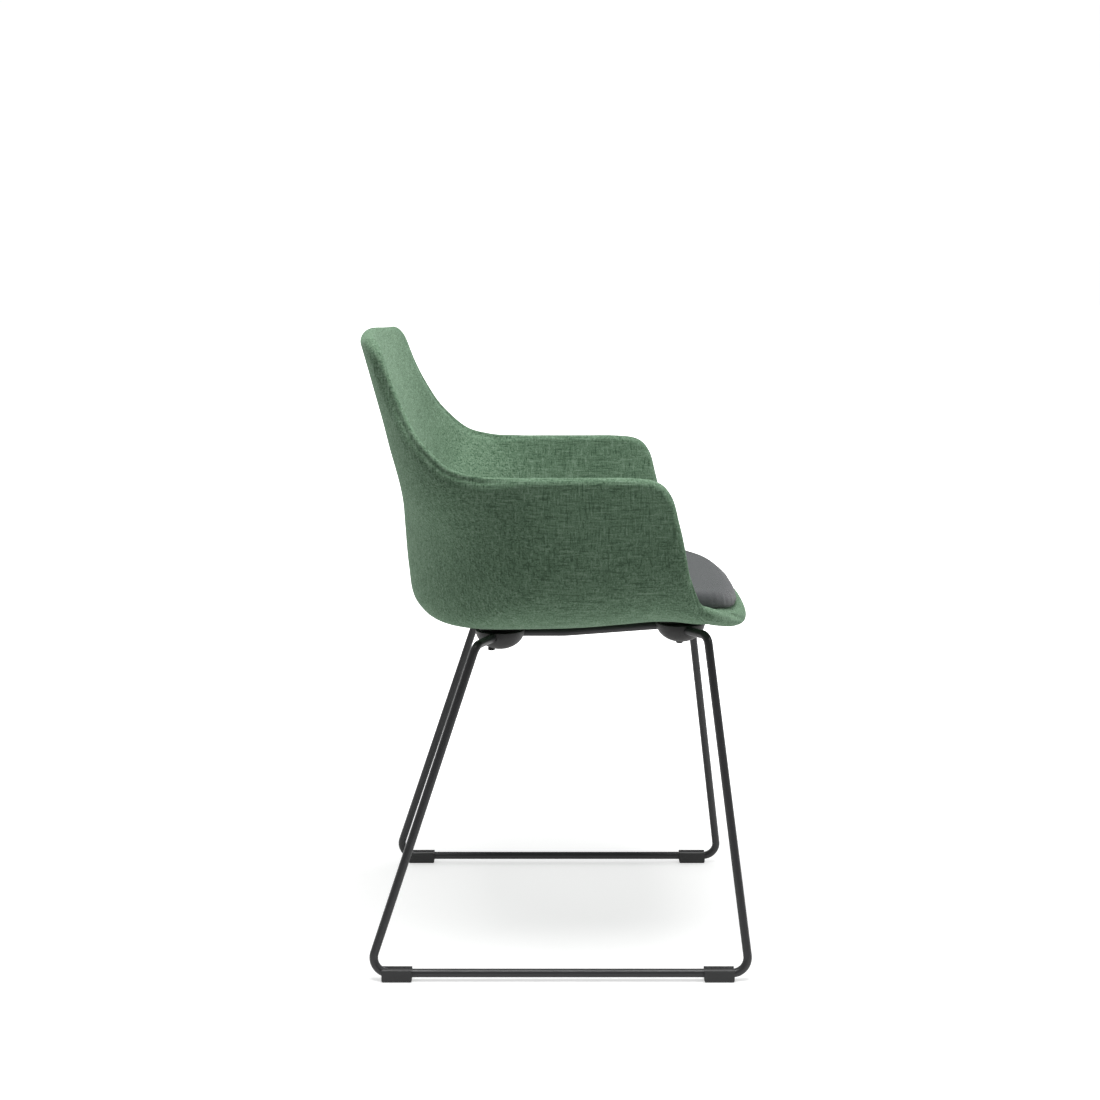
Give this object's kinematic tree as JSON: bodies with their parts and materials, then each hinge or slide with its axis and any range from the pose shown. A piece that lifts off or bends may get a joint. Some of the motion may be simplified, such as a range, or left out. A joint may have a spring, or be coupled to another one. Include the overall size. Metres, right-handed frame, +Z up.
{
  "type": "sled base chair",
  "caption": "Upholstered tub armchair with a separate seat pad, carried on two bent round-rod sled loops with clip-on floor glides.",
  "frame": {"origin": "on the floor, under the middle of the chair's overall length and width", "axes": "+X the way the sitter looks, +Y to the sitter's left, +Z up along the chair's height"},
  "size_m": [0.5022, 0.5934, 0.8078],
  "materials": {
    "green_fabric": "green melange weave, matte",
    "charcoal_fabric": "charcoal grey fine weave, matte",
    "foam": "open-cell foam, hidden",
    "shell_plastic": "moulded, hidden",
    "board_plastic": "plain, hidden",
    "black_coat": "satin black powder coat",
    "dark_plastic": "dark grey, fine grain",
    "black_rubber": "matte",
    "glide_plastic": "satin",
    "zinc": "zinc plated",
    "brass": "turned, hidden"
  },
  "bodies": {
    "root": {"seat_shell": "shell_plastic", "inner_padding": "foam", "inner_cover": "green_fabric", "outer_cover": "green_fabric", "pad_board": "board_plastic", "pad_foam": "foam", "pad_cover": "charcoal_fabric", "right_sled_loop": "black_coat", "left_sled_loop": "black_coat", "front_cross_plate": "black_coat", "rear_cross_plate": "black_coat", "front_saddle": "dark_plastic", "rear_saddle": "dark_plastic", "front_stack_buffer_right": "black_rubber", "front_stack_buffer_left": "black_rubber", "rear_stack_buffer_right": "black_rubber", "rear_stack_buffer_left": "black_rubber", "seat_screw_front_right": "zinc", "seat_screw_front_left": "zinc", "seat_screw_rear_right": "zinc", "seat_screw_rear_left": "zinc", "washer_front_right": "zinc", "washer_front_left": "zinc", "washer_rear_right": "zinc", "washer_rear_left": "zinc", "threaded_insert_front_right": "brass", "threaded_insert_front_left": "brass", "threaded_insert_rear_right": "brass", "threaded_insert_rear_left": "brass", "glide_front_right": "glide_plastic", "glide_front_left": "glide_plastic", "glide_rear_right": "glide_plastic", "glide_rear_left": "glide_plastic"}
  },
  "joints": []
}
